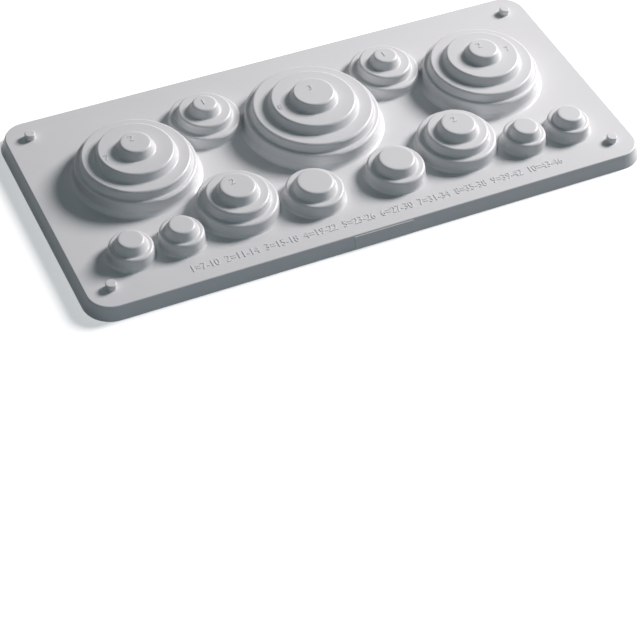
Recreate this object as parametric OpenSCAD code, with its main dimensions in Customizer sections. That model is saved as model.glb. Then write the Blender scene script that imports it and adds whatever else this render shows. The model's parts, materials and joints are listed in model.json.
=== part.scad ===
// Cable entry plate: one moulding in soft light grey plastic, a thin sheet with hollow stepped domes.
// A dome is cut open at the step whose collar suits the cable, and the cable is pushed through it.
// X runs along the plate, Y across it, Z out of its top face. The origin is the middle of the underside.

/* [Plate] */
// Length of the plate at its underside
plate_l = 247; // [241:1:320]
// Width of the plate at its underside
plate_w = 117; // [115:1:180]
// Height of the edge, from the underside to the top face
plate_h = 6; // [4.6:0.1:9]
// Thickness of the sheet between the domes
sheet_t = 2.2; // [1.6:0.1:3]
// How far the edge slopes inwards on its way up
edge_slope = 2.1; // [0.8:0.1:3.5]
// Radius of the corners at the underside
corner_r = 11.6; // [9.6:0.1:16]
// Radius that softens the upper edge of the plate
edge_round = 0.6; // [0.2:0.1:1]
// Width of the flat sealing rim around the underside
rim_w = 6; // [5:0.5:8]

/* [Edge pad] */
// Length of the low pad in the middle of the front edge
pad_l = 26; // [10:1:60]
// How far the pad stands out from the sloping edge
pad_t = 0.3; // [0.1:0.05:0.6]

/* [Pegs] */
// Distance of the peg axes from the ends of the plate
peg_inset_x = 12.2; // [11:0.1:16]
// Distance of the peg axes from the long sides of the plate
peg_inset_y = 12.1; // [11:0.1:16]
// Diameter of the pegs
peg_d = 4.4; // [3:0.1:6]
// Height of the pegs above the top face
peg_h = 2.6; // [1.5:0.1:5]
// Radius that softens the tip of the pegs
peg_round = 0.4; // [0.1:0.1:0.8]

/* [Dome walls] */
// Thickness of the walls and ledges of the domes
dome_wall = 1.3; // [0.8:0.1:1.8]
// Rise of a step above the ledge that carries it
step_rise = 3.5; // [3:0.1:5]
// How much the wall of a step widens from top to root
step_flare = 0.3; // [0:0.05:0.5]
// Radius that softens the upper edge of a step
step_round = 1.1; // [0.3:0.1:1.3]
// Radius in the corner at the root of a step
root_round = 0.8; // [0.2:0.1:1]
// How much the base wall of a dome widens from its ledge to the top face
base_flare = 0.8; // [0.3:0.1:1.2]

/* [Dome layout] */
// Distance of the centre dome behind the middle of the plate
centre_y = 11.4; // [8:0.2:14]
// Distance of the side domes behind the middle of the plate
side_y = 10; // [8:0.2:12]
// Gap between the base ledges of the centre dome and a side dome
side_gap = 26.2; // [22:0.2:30]
// Gap between the base ledge of a back dome and those of the two domes that it nests between
back_gap = 1.85; // [1.5:0.05:4]
// Gap between the base ledges of the two middle front domes
middle_gap = 12.8; // [8:0.2:16]
// Gap between the base ledges of a middle front dome and the centre dome
middle_back_gap = 5.4; // [3:0.1:8]
// Gap between the base ledges of neighbours in the front row
front_gap = 3.5; // [2.5:0.1:5]
// Gap between the base ledges of a stepped front dome and the side dome behind it
stepped_back_gap = 4.1; // [2.5:0.1:7]
// Gap between the base ledges of an inner small dome and the side dome behind it
small_back_gap = 9.4; // [6:0.2:12]

/* [Centre dome] */
// Rise of the base ledge of the centre and side domes above the top face
tall_rise = 6.5; // [5:0.1:9]
// Radius at the foot of the centre and side domes
tall_foot = 2.6; // [1:0.1:3]
// Diameter of the base ledge of the centre dome
centre_base_d = 56.2; // [50:0.2:62]
// Width of the base ledge of the centre dome
centre_base_ledge = 2.9; // [2.4:0.1:4]
// Width of the ledge between the lower and the upper step of the centre dome
centre_low_ledge = 7.4; // [5:0.1:8]
// Width of the ledge round the cap of the centre dome
centre_cap_ledge = 9; // [6:0.1:10]

/* [Side domes] */
// Diameter of the base ledge of the side domes
side_base_d = 49.2; // [45:0.2:54]
// Width of the base ledge of the side domes
side_base_ledge = 2.4; // [2:0.1:3.4]
// Width of the ledge between the lower and the upper step of the side domes
side_low_ledge = 6.6; // [5:0.1:7]
// Width of the ledge round the cap of the side domes
side_cap_ledge = 9.5; // [6:0.1:10]

/* [Back domes] */
// Rise of the base ledge of the back domes above the top face
back_rise = 4.3; // [3.4:0.1:6]
// Diameter of the base ledge of the back domes
back_base_d = 29.6; // [27:0.2:33]
// Width of the base ledge of the back domes
back_base_ledge = 3.7; // [2.4:0.1:4]
// Width of the ledge round the cap of the back domes
back_cap_ledge = 6.3; // [4:0.1:6.6]

/* [Front domes] */
// Rise of the base ledge of the front domes above the top face
front_rise = 5.2; // [3.6:0.1:7]
// Radius at the foot of the back and front domes
small_foot = 1.2; // [0.6:0.1:1.4]
// Diameter of the base ledge of the stepped front domes
stepped_base_d = 32.8; // [30:0.2:36]
// Width of the base ledge of the stepped front domes
stepped_base_ledge = 3.5; // [2.4:0.1:4]
// Width of the ledge round the cap of the stepped front domes
stepped_cap_ledge = 5.9; // [4:0.1:7]
// Diameter of the base ledge of the middle front domes
middle_base_d = 23.6; // [21:0.2:26]
// Width of the ledge round the cap of the middle front domes
middle_cap_ledge = 4.6; // [3:0.1:6]
// Diameter of the base ledge of the small domes
small_base_d = 17.6; // [16:0.2:19.4]
// Width of the ledge round the cap of the small domes
small_cap_ledge = 3.8; // [2.6:0.1:4.2]

/* [Hidden] */
$fn = 96;
// Sides of the circles that round an edge or fill a corner
round_fn = 32;
plate_grey = [0.80, 0.81, 0.82];
// Overshoot of a cut past the face that it opens, and of a joined shape into the body that carries it
over = 0.5;
// Depth by which the foot of a dome dips below the top face, so that it meets the face at an angle
foot_dip = 0.1;
// Distance of a rounding's centre from the faces that it joins, as a share of its radius.
// It is a little under 1, so that the arc crosses the faces at a slight angle.
ease = 0.995;
peg_x = plate_l / 2 - peg_inset_x;
peg_y = plate_w / 2 - peg_inset_y;
recess_h = plate_h - sheet_t;

// Sum of the first few values in a list
function total(values, count) = count == 0 ? 0 : values[count - 1] + total(values, count - 1);

// Diameters of a dome's base, steps and cap, each one ledge in from the one below
function step_ds(base_d, ledges) =
    [for (level = [0 : len(ledges)]) base_d - 2 * total(ledges, level)];

// Place and radius [x, y, r] of a dome that nests beside the domes a and b, at a gap from each.
// It lies to the left of the way from a to b where side is 1, and to the right where it is -1.
function nest(a, b, r, gap_a, gap_b, side) =
    let (
        reach_a = a[2] + r + gap_a,
        reach_b = b[2] + r + gap_b,
        way = [b[0] - a[0], b[1] - a[1]],
        span = norm(way),
        along = (reach_a ^ 2 - reach_b ^ 2 + span ^ 2) / (2 * span),
        aside = side * sqrt(reach_a ^ 2 - along ^ 2)
    )
    [a[0] + (along * way[0] - aside * way[1]) / span, a[1] + (along * way[1] + aside * way[0]) / span, r];

// Place and radius of the centre dome and of each dome on the right
centre = [0, centre_y, centre_base_d / 2];
side = [centre[2] + side_gap + side_base_d / 2, side_y, side_base_d / 2];
back = nest(centre, side, back_base_d / 2, back_gap, back_gap, 1);
middle_x = (middle_gap + middle_base_d) / 2;
middle_reach = centre[2] + middle_base_d / 2 + middle_back_gap;
middle = [middle_x, centre_y - sqrt(middle_reach ^ 2 - middle_x ^ 2), middle_base_d / 2];
stepped = nest(middle, side, stepped_base_d / 2, front_gap, stepped_back_gap, -1);
inner = nest(stepped, side, small_base_d / 2, front_gap, small_back_gap, -1);
outer = inner + [small_base_d + front_gap, 0, 0];

// Base, step and cap diameters of each kind of dome
centre_steps = step_ds(centre_base_d, [centre_base_ledge, centre_low_ledge, centre_cap_ledge]);
side_steps = step_ds(side_base_d, [side_base_ledge, side_low_ledge, side_cap_ledge]);
back_steps = step_ds(back_base_d, [back_base_ledge, back_cap_ledge]);
stepped_steps = step_ds(stepped_base_d, [stepped_base_ledge, stepped_cap_ledge]);
middle_steps = step_ds(middle_base_d, [middle_cap_ledge]);
small_steps = step_ds(small_base_d, [small_cap_ledge]);

// The domes on the right: place, rise of the base ledge, radius at the foot, diameters
RIGHT_DOMES = [
    [side, tall_rise, tall_foot, side_steps],
    [back, back_rise, small_foot, back_steps],
    [stepped, front_rise, small_foot, stepped_steps],
    [middle, front_rise, small_foot, middle_steps],
    [inner, front_rise, small_foot, small_steps],
    [outer, front_rise, small_foot, small_steps]
];
// Every dome: the centre dome, those on the right and their mirror images on the left
DOMES = concat(
    [[0, centre[1], tall_rise, tall_foot, centre_steps]],
    [for (hand = [-1, 1], dome = RIGHT_DOMES) [hand * dome[0][0], dome[0][1], dome[1], dome[2], dome[3]]]
);

// Height of a dome's ledge, counted from 0 for the base ledge
function ledge_z(rise, level) = plate_h + rise + level * step_rise;

// How much the wall below a ledge widens on its way down
function flare(level) = level == 0 ? base_flare : step_flare;

// Outline to the right of the Z axis, from z0 up to z1, with radius r at its top.
// The wall leans outwards by spread on its way down, and its upper edge is rounded.
module rounded_block(r, z0, z1, spread, edge) {
    lean = atan(spread / (z1 - z0));
    inset = ease * edge;
    centre = [r + inset * tan(lean) - inset / cos(lean), z1 - inset];
    reach = edge + over;
    outside = centre + reach * [cos(lean), sin(lean)];
    difference() {
        polygon([[0, z0], [r + spread, z0], [r, z1], [0, z1]]);
        difference() {
            polygon([centre, [centre[0], z1 + over], [outside[0], z1 + over], outside]);
            translate(centre) circle(edge, $fn = round_fn);
        }
    }
}

// Filling in the corner where a wall that leans by lean degrees stands on a level face.
// The wall is at radius r where it meets the face, at height z.
module corner_fillet(r, z, radius, lean, dip) {
    inset = ease * radius;
    centre_z = z + radius - dip;
    touch_z = centre_z - inset * sin(lean);
    touch_r = r - (touch_z - z) * tan(lean);
    centre = [touch_r + inset * cos(lean), centre_z];
    inner_r = touch_r - over;
    difference() {
        polygon([
            [inner_r, z - over], [centre[0], z - over], centre,
            [touch_r, touch_z], [inner_r, touch_z]
        ]);
        translate(centre) circle(radius, $fn = round_fn);
    }
}

// Half section through the outside of a dome
module dome_outside(rise, foot, steps) {
    base_r = steps[0] / 2;
    base_z = ledge_z(rise, 0);
    base_lean = atan(base_flare / rise);
    root_r = base_r + base_flare;
    translate([0, plate_h - over]) square([root_r, over]);
    rounded_block(base_r, plate_h, base_z, base_flare, step_round);
    corner_fillet(root_r, plate_h, foot, base_lean, foot_dip);
    for (level = [1 : len(steps) - 1]) {
        r = steps[level] / 2;
        z = ledge_z(rise, level - 1);
        rounded_block(r, z, z + step_rise, step_flare, step_round);
        corner_fillet(r + step_flare, z, root_round, atan(step_flare / step_rise), (1 - ease) * root_round);
    }
}

// Half section through the hollow of a dome, which follows its outside one wall further in
module dome_hollow(rise, steps) {
    mouth_r = steps[0] / 2 + base_flare - dome_wall;
    walls = [
        for (level = [0 : len(steps) - 1], foot = [1, 0])
            [
                steps[level] / 2 - dome_wall + foot * flare(level),
                foot == 0 ? ledge_z(rise, level) - dome_wall
                    : level == 0 ? plate_h - dome_wall
                    : ledge_z(rise, level - 1) - dome_wall
            ]
    ];
    cap_z = ledge_z(rise, len(steps) - 1) - dome_wall;
    polygon(concat([[0, -over], [mouth_r, -over]], walls, [[0, cap_z]]));
}

// Section of the plate's edge, from the middle of a corner outwards
module edge_section() {
    rounded_block(corner_r - edge_slope, 0, plate_h, edge_slope, edge_round);
}

// Plate without domes: a middle part as wide as the plate, two end strips and four round corners,
// all with the same sloping edge
module plate_body() {
    straight_l = plate_l - 2 * corner_r;
    straight_w = plate_w - 2 * corner_r;
    rotate([90, 0, 90])
        linear_extrude(straight_l, center = true) {
            translate([-straight_w / 2, 0]) square([straight_w, plate_h]);
            for (hand = [0, 1])
                mirror([hand, 0]) translate([straight_w / 2, 0]) edge_section();
        }
    for (end = [0, 1]) {
        mirror([end, 0, 0]) {
            translate([straight_l / 2, straight_w / 2, 0])
                rotate([90, 0, 0]) linear_extrude(straight_w) edge_section();
            for (hand = [0, 1])
                mirror([0, hand, 0])
                    translate([straight_l / 2, straight_w / 2, 0]) rotate_extrude(angle = 90) edge_section();
        }
    }
}

// Low pad on the front edge, kept within the outline of the underside
module edge_pad() {
    front_y = -plate_w / 2;
    top_z = plate_h - edge_round;
    foot_z = pad_t * plate_h / edge_slope;
    top_y = front_y + edge_slope * top_z / plate_h;
    translate([-pad_l / 2, 0, 0])
        rotate([90, 0, 90])
            linear_extrude(pad_l)
                polygon([
                    [front_y, 0], [front_y + edge_slope, 0], [top_y + over, top_z],
                    [top_y - pad_t, top_z], [front_y, foot_z]
                ]);
}

// Shallow recess in the underside, inside the sealing rim
module underside_recess() {
    recess_r = corner_r - rim_w;
    straight_l = plate_l - 2 * corner_r;
    straight_w = plate_w - 2 * corner_r;
    translate([0, 0, -over])
        linear_extrude(recess_h + over) {
            square([straight_l + 2 * recess_r, straight_w], center = true);
            square([straight_l, straight_w + 2 * recess_r], center = true);
            for (x = [-1, 1], y = [-1, 1])
                translate([x * straight_l / 2, y * straight_w / 2]) circle(recess_r);
        }
}

// Corner peg that buttons into a hole in the sheet that the plate lies against
module peg() {
    rotate_extrude() rounded_block(peg_d / 2, plate_h - over, plate_h + peg_h, 0, peg_round);
}

// The whole moulding
module entry_plate() {
    color(plate_grey)
        difference() {
            union() {
                plate_body();
                edge_pad();
                for (dome = DOMES)
                    translate([dome[0], dome[1], 0])
                        rotate_extrude() dome_outside(dome[2], dome[3], dome[4]);
                for (x = [-peg_x, peg_x], y = [-peg_y, peg_y])
                    translate([x, y, 0]) peg();
            }
            underside_recess();
            for (dome = DOMES)
                translate([dome[0], dome[1], 0]) rotate_extrude() dome_hollow(dome[2], dome[4]);
        }
}

entry_plate();
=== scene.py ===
import bpy
import json
from math import cos, radians, sin
from mathutils import Matrix, Vector


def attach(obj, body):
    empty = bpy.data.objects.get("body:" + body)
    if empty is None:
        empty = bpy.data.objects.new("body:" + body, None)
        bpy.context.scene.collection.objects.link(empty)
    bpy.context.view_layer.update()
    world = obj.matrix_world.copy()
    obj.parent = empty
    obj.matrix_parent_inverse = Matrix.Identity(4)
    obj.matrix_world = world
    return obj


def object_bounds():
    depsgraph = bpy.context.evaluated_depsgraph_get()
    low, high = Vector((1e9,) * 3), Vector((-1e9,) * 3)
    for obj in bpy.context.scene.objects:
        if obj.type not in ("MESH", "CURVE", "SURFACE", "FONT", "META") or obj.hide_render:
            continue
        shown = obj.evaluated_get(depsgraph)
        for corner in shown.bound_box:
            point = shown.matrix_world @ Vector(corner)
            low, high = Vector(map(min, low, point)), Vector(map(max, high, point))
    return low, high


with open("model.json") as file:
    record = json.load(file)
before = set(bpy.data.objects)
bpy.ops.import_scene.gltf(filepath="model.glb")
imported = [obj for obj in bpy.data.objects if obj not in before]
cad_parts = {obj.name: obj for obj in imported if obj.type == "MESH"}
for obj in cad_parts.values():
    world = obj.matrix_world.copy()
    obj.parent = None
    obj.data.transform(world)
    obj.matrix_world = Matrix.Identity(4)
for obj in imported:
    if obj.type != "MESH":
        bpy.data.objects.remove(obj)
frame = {"nodes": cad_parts, "record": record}
solid_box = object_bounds()
mm = 0.001

# Camera: looks down on the plate from its front left corner through a long lens, a little tilted.
# The plate lies in the upper half of a square picture, so the camera aims below it, with no shift.
picture_px = 640
focal_px = 1898.5
origin_px = Vector((322.76, 150.06))
view_azimuth = radians(-27.88)
view_elevation = radians(46.72)
view_roll = radians(3.74)
view_depth = 791.0 * mm
nearest_seen = 10 * mm
turn = (
    Matrix.Rotation(view_azimuth, 3, "Z")
    @ Matrix.Rotation(radians(90) - view_elevation, 3, "X")
    @ Matrix.Rotation(view_roll, 3, "Z")
)
off_axis = (origin_px - Vector((picture_px, picture_px)) / 2) * view_depth / focal_px
bpy.ops.object.camera_add(
    location=turn @ Vector((-off_axis.x, off_axis.y, view_depth)), rotation=turn.to_euler()
)
camera = bpy.context.object
camera.data.lens = camera.data.sensor_width * focal_px / picture_px
camera.data.clip_start = nearest_seen
bpy.context.scene.camera = camera

# Plate: one injection moulding in soft light grey plastic, a sheet with hollow stepped domes.
# The mould is spark eroded, so the skin has a fine grain, and the flow of the melt leaves faint
# clouds in its colour and gloss.
plate = frame["nodes"]["entry_plate"]


class Socket:
    """A value in a material's node tree. Arithmetic on it adds Math nodes to the tree."""

    def __init__(self, tree, output=None):
        self.tree = tree
        self.output = output

    def add(self, kind, settings, inputs, output=0):
        """Adds a node: its settings first, then the values or links of its inputs."""
        node = self.tree.nodes.new(kind)
        for name, value in settings.items():
            setattr(node, name, value)
        for name, value in inputs.items():
            if isinstance(value, Socket):
                self.tree.links.new(value.output, node.inputs[name])
            else:
                node.inputs[name].default_value = value
        return Socket(self.tree, node.outputs[output] if node.outputs else None)

    def maths(self, operation, first, second):
        return self.add("ShaderNodeMath", {"operation": operation}, {0: first, 1: second})

    def __add__(self, other):
        return self.maths("ADD", self, other)

    def __radd__(self, other):
        return self.maths("ADD", other, self)

    def __mul__(self, other):
        return self.maths("MULTIPLY", self, other)

    def __rmul__(self, other):
        return self.maths("MULTIPLY", other, self)


def empty_material(name):
    """A new material with an empty node tree, and a Socket to add nodes to it."""
    material = bpy.data.materials.new(name)
    material.use_nodes = True
    material.node_tree.nodes.clear()
    return material, Socket(material.node_tree)


def moulded_grey_plastic():
    """Light grey plastic with faint clouds, blotches and a fine grain in its skin."""
    pale_grey = (0.72, 0.722, 0.727, 1)
    deep_grey = (0.675, 0.678, 0.686, 1)
    cloud_size, cloud_detail = 14 * mm, 3
    blotch_size, blotch_detail = 3 * mm, 4
    grain_size, grain_detail = 0.35 * mm, 2
    # Shares of the clouds and the blotches in the colour
    cloud_share, blotch_share = 0.7, 0.3
    # Height of the blotches against the grain, and the strength and depth of both
    blotch_height = 0.6
    skin_strength = 0.12
    skin_depth = 0.1 * mm
    # Roughness of the glossiest skin, and what the clouds and the grain add to it
    glossiest, cloud_dulling, grain_dulling = 0.24, 0.12, 0.06
    refraction = 1.48
    material, nodes = empty_material("moulded_grey_plastic")
    place = nodes.add("ShaderNodeTexCoord", {}, {}, "Object")

    def noise(size, detail):
        return nodes.add(
            "ShaderNodeTexNoise", {}, {"Vector": place, "Scale": 1 / size, "Detail": detail}
        )

    cloud = noise(cloud_size, cloud_detail)
    blotch = noise(blotch_size, blotch_detail)
    grain = noise(grain_size, grain_detail)
    colour = nodes.add(
        "ShaderNodeMix",
        {"data_type": "RGBA"},
        {"Factor": cloud_share * cloud + blotch_share * blotch, "A": pale_grey, "B": deep_grey},
        "Result",
    )
    skin = nodes.add(
        "ShaderNodeBump",
        {},
        {
            "Height": grain + blotch_height * blotch,
            "Strength": skin_strength,
            "Distance": skin_depth,
        },
    )
    surface = nodes.add(
        "ShaderNodeBsdfPrincipled",
        {},
        {
            "Base Color": colour,
            "Roughness": glossiest + cloud_dulling * cloud + grain_dulling * grain,
            "Normal": skin,
            "IOR": refraction,
        },
    )
    nodes.add("ShaderNodeOutputMaterial", {}, {"Surface": surface})
    return material


plastic = moulded_grey_plastic()
plate.data.materials.clear()
plate.data.materials.append(plastic)

# Step flanks: the sloping walls of the domes' steps and the wide lips of the smaller caps, in the
# same plastic and moulded with the plate. They slope so that the moulding leaves its mould. Each is
# a turned ring over the steeper wall of the solid, from a step's lip to the ledge that carries it.
openings = {row["name"]: row["box_m"] for row in frame["record"]["physics"]["openings"]}
step_rise = 3.5 * mm
# From the corners of an opening's box to the outside of its step, and from its top to the step's
wall_gap = 1.45 * mm
roof_gap = 1.4 * mm
# Where a flank leaves the rounded lip, from the outside and the top of its step
lip_inset = 0.09 * mm
lip_drop = 0.7 * mm
# What a smaller cap gains in radius, and the rounding of its lip
cap_growth = 0.5 * mm
lip_round = 1.1 * mm
lip_angles = [radians(degrees) for degrees in (70, 50, 35)]
# How much a flank widens for each unit of its height, and the rounding at its root
wide_lean, wide_root = 0.5, 0.7 * mm
narrow_lean, narrow_root = 0.3, 0.5 * mm
# Where the rounding at a root bends, as a share of its size
root_bend = 1 / 3
# How far the upper edge, the lower edge and the hidden side of a flank lie inside the solid
rim_sunk = 0.02 * mm
edge_sunk = 0.05 * mm
side_sunk = 0.4 * mm
flank_sides = 96
flank_smooth = radians(35)


def wider_lip(outside, top):
    """Radii and heights of a wider cap's edge, from its flat top round its lip."""
    centre = outside + cap_growth - lip_round
    lip = [(outside - lip_round - side_sunk, top - rim_sunk), (centre, top - rim_sunk / 2)]
    for angle in lip_angles:
        lip.append((centre + lip_round * cos(angle), top - lip_round + lip_round * sin(angle)))
    return lip


def turned_flank(axis, section):
    """A closed ring turned about an upright axis, from the radii and heights of its section."""
    bpy.ops.object.select_all(action="DESELECT")
    radius, height = section[0]
    bpy.ops.mesh.primitive_circle_add(
        vertices=flank_sides, radius=radius, location=(axis.x, axis.y, height)
    )
    ring = bpy.context.object
    bpy.ops.object.transform_apply(location=True, rotation=False, scale=False)
    bpy.ops.object.mode_set(mode="EDIT")
    bpy.ops.mesh.select_all(action="SELECT")
    for (near, start), (far, end) in zip(section, section[1:]):
        bpy.ops.mesh.extrude_region_move(TRANSFORM_OT_translate={"value": (0, 0, end - start)})
        bpy.ops.transform.resize(
            value=(far / near, far / near, 1), center_override=(axis.x, axis.y, end)
        )
    bpy.ops.mesh.select_all(action="DESELECT")
    bpy.ops.mesh.select_non_manifold()
    bpy.ops.mesh.bridge_edge_loops()
    bpy.ops.mesh.select_all(action="SELECT")
    bpy.ops.mesh.normals_make_consistent(inside=False)
    bpy.ops.object.mode_set(mode="OBJECT")
    bpy.ops.object.shade_smooth_by_angle(angle=flank_smooth)
    return ring


def moved_copy(ring, way):
    """A copy of a ring with its own mesh, moved to another dome."""
    bpy.ops.object.select_all(action="DESELECT")
    ring.select_set(True)
    bpy.context.view_layer.objects.active = ring
    bpy.ops.object.duplicate()
    bpy.ops.transform.translate(value=way)
    bpy.ops.object.transform_apply(location=True, rotation=False, scale=False)
    return bpy.context.object


def finish_piece(meshes, name):
    """Joins meshes into one piece of the moulding."""
    bpy.ops.object.select_all(action="DESELECT")
    for mesh in meshes:
        mesh.select_set(True)
    bpy.context.view_layer.objects.active = meshes[0]
    if len(meshes) > 1:
        bpy.ops.object.join()
    piece = bpy.context.object
    piece.name = name
    piece.data.name = name
    piece.data.materials.clear()
    piece.data.materials.append(plastic)
    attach(piece, "root")


flanks = []
# The first ring of each size, and the place of its axis
modelled = {}
for opening, box in openings.items():
    # The lowest tier of a dome rises from the sheet and keeps the solid's own slope
    if opening.endswith("mouth"):
        continue
    low, high = map(Vector, box)
    outside = (high - low).xy.length / 2 + wall_gap
    top = high.z + roof_gap
    axis = Vector(((low.x + high.x) / 2, (low.y + high.y) / 2, 0))
    size = (round(outside / mm, 2), round(top / mm, 2))
    if size in modelled:
        ring, place = modelled[size]
        flanks.append(moved_copy(ring, axis - place))
        continue
    ledge = top - step_rise
    # The ledge round the lowest tier is narrow
    on_narrow_ledge = opening.endswith("lower")
    lean = narrow_lean if on_narrow_ledge else wide_lean
    root = narrow_root if on_narrow_ledge else wide_root
    wider = opening.endswith("cap") and not opening.startswith("centre")
    start = outside - lip_inset + (cap_growth if wider else 0)
    foot = start + lean * (step_rise - lip_drop - root)
    section = wider_lip(outside, top) if wider else []
    section += [
        (start, top - lip_drop),
        (foot, ledge + root),
        (foot + root * root_bend, ledge + root * root_bend),
        (foot + root, ledge - edge_sunk),
        (foot, ledge - side_sunk),
        (outside - side_sunk, ledge - side_sunk),
        (outside - side_sunk, top - lip_drop - side_sunk),
    ]
    ring = turned_flank(axis, section)
    modelled[size] = ring, axis
    flanks.append(ring)
finish_piece(flanks, "step_flanks")

# Raised numbers: figures on the larger domes, in the same plastic. They are cut into the mould, so
# they stand up from the moulding, and tell which cable fits when a dome is cut off at that step.
relief = 0.17 * mm
character_depth = 0.4 * mm
curve_steps = 4
merge_distance = 0.001 * mm


def surface_z(x, y):
    """Height of the moulding's upper side at a place."""
    above = Vector((x, y, solid_box[1].z + relief))
    found, point, _, _ = plate.ray_cast(above, Vector((0, 0, -1)))
    if not found:
        raise ValueError(f"the moulding has no surface at {x:.4f}, {y:.4f}")
    return point.z


def raised_text(words, x, y, height, length=None):
    """Raised characters centred on a place, as a mesh."""
    bpy.ops.object.select_all(action="DESELECT")
    bpy.ops.object.text_add()
    text = bpy.context.object
    text.data.body = words
    text.data.align_x = "CENTER"
    text.data.size = 1
    text.data.resolution_u = curve_steps
    bpy.ops.object.convert(target="MESH")
    mesh = bpy.context.object
    low = Vector(map(min, *(v.co for v in mesh.data.vertices)))
    high = Vector(map(max, *(v.co for v in mesh.data.vertices)))
    size = high - low
    grow = height / size.y
    stretch = length / size.x if length else grow
    bpy.ops.object.mode_set(mode="EDIT")
    bpy.ops.mesh.select_all(action="SELECT")
    bpy.ops.transform.translate(value=-(low + high) / 2)
    bpy.ops.transform.resize(value=(stretch, grow, 1), center_override=(0, 0, 0))
    bpy.ops.mesh.remove_doubles(threshold=merge_distance)
    bpy.ops.mesh.extrude_region_move(TRANSFORM_OT_translate={"value": (0, 0, character_depth)})
    bpy.ops.mesh.select_all(action="SELECT")
    bpy.ops.mesh.normals_make_consistent(inside=False)
    bpy.ops.transform.translate(value=(x, y, surface_z(x, y) + relief - character_depth))
    bpy.ops.object.mode_set(mode="OBJECT")
    return mesh


code_height = 3.0 * mm
# The opening under each numbered step, the number's place from the axis in mm, and the number
codes = [
    ("centre_dome_cap", (-0.4, 2.6), "3"),
    ("centre_dome_upper", (-15.0, -0.2), "8"),
    ("side_left_dome_cap", (-0.9, 2.4), "2"),
    ("side_left_dome_upper", (-12.6, -0.9), "7"),
    ("side_right_dome_cap", (-0.9, 2.2), "2"),
    ("side_right_dome_upper", (11.9, -0.6), "7"),
    ("back_left_dome_cap", (-0.4, 0.6), "1"),
    ("back_right_dome_cap", (-0.6, 0.6), "1"),
    ("stepped_left_dome_cap", (-1.0, 2.6), "2"),
    ("stepped_right_dome_cap", (-0.8, 2.6), "2"),
]
code_meshes = []
for opening, (right, back), number in codes:
    low, high = map(Vector, openings[opening])
    axis = (low + high) / 2
    code_meshes.append(raised_text(number, axis.x + right * mm, axis.y + back * mm, code_height))
finish_piece(code_meshes, "step_numbers")

# Size list: a row of figures along the front edge, in the same plastic and cut into the mould like
# the numbers. It gives each number with the cable diameters that it stands for, in millimetres.
legend_x = 3.5 * mm
legend_y = -49.0 * mm
legend_length = 165 * mm
legend_height = 3.6 * mm
smallest_cable = 7
cable_span = 4
code_count = 10
entries = []
for code in range(code_count):
    thinnest = smallest_cable + code * cable_span
    entries.append(f"{code + 1}={thinnest}-{thinnest + cable_span - 1}")
legend = raised_text("  ".join(entries), legend_x, legend_y, legend_height, legend_length)
finish_piece([legend], "size_list")

# Floor: a plain pale sheet that the plate lies on. The camera sees it near white, with the plate's
# shadow, and it throws less light back at the plate than the camera sees.
floor_size = 6
floor_gap = 0.05 * mm
pure_white = (1, 1, 1, 1)
bpy.ops.object.select_all(action="DESELECT")
bpy.ops.mesh.primitive_plane_add(size=floor_size, location=(0, 0, -floor_gap))
floor = bpy.context.object
floor.name = "floor"


def seen_directly(nodes):
    """1 for rays from the camera, and for mirror and glass rays, else 0."""
    straight = nodes.add("ShaderNodeLightPath", {}, {}, "Is Camera Ray")
    mirrored = nodes.add("ShaderNodeLightPath", {}, {}, "Is Glossy Ray")
    through = nodes.add("ShaderNodeLightPath", {}, {}, "Is Transmission Ray")
    return nodes.maths("MAXIMUM", nodes.maths("MAXIMUM", straight, mirrored), through)


def pale_paper():
    """Paper that looks brighter to the camera than the light it throws back."""
    seen_white = (0.93, 0.93, 0.93, 1)
    bounce_grey = (0.40, 0.425, 0.45, 1)
    glow_strength = 0.46
    material, nodes = empty_material("pale_paper")
    glow = nodes.add("ShaderNodeEmission", {}, {"Color": pure_white, "Strength": glow_strength})
    paper = nodes.add("ShaderNodeBsdfDiffuse", {}, {"Color": seen_white})
    bright = nodes.add("ShaderNodeAddShader", {}, {0: paper, 1: glow})
    dull = nodes.add("ShaderNodeBsdfDiffuse", {}, {"Color": bounce_grey})
    mixed = nodes.add("ShaderNodeMixShader", {}, {0: seen_directly(nodes), 1: dull, 2: bright})
    nodes.add("ShaderNodeOutputMaterial", {}, {"Surface": mixed})
    return material


floor.data.materials.append(pale_paper())

# Light: a soft key lamp low on the right, a little behind the plate, and a weak, wide fill lamp in
# front of it, as in a small studio, with a dim room all round that the camera sees as white.
key_place = Vector((1219, 338, 806)) * mm
fill_place = Vector((-180, -670, 694)) * mm
# Each lamp's place, width, power in watts and colour
lamps = {
    "key_lamp": (key_place, 480 * mm, 32, (1.0, 0.957, 0.966)),
    "fill_lamp": (fill_place, 500 * mm, 0.85, (0.66, 0.89, 1.0)),
}
for lamp_name, (place, width, power, tint) in lamps.items():
    bpy.ops.object.light_add(type="AREA", location=place)
    lamp = bpy.context.object
    lamp.name = lamp_name
    lamp.rotation_euler = place.to_track_quat("Z", "Y").to_euler()
    lamp.data.shape = "DISK"
    lamp.data.size = width
    lamp.data.energy = power
    lamp.data.color = tint
room_tint = (0.62, 0.89, 1.0, 1)
room_strength = 0.04
room = bpy.context.scene.world or bpy.data.worlds.new("room")
bpy.context.scene.world = room
room.use_nodes = True
room.node_tree.nodes.clear()
sky = Socket(room.node_tree)
dim = sky.add("ShaderNodeBackground", {}, {"Color": room_tint, "Strength": room_strength})
white = sky.add("ShaderNodeBackground", {}, {"Color": pure_white, "Strength": 1})
shown = sky.add("ShaderNodeMixShader", {}, {0: seen_directly(sky), 1: dim, 2: white})
sky.add("ShaderNodeOutputWorld", {}, {"Surface": shown})
bpy.context.scene.view_settings.view_transform = "Standard"
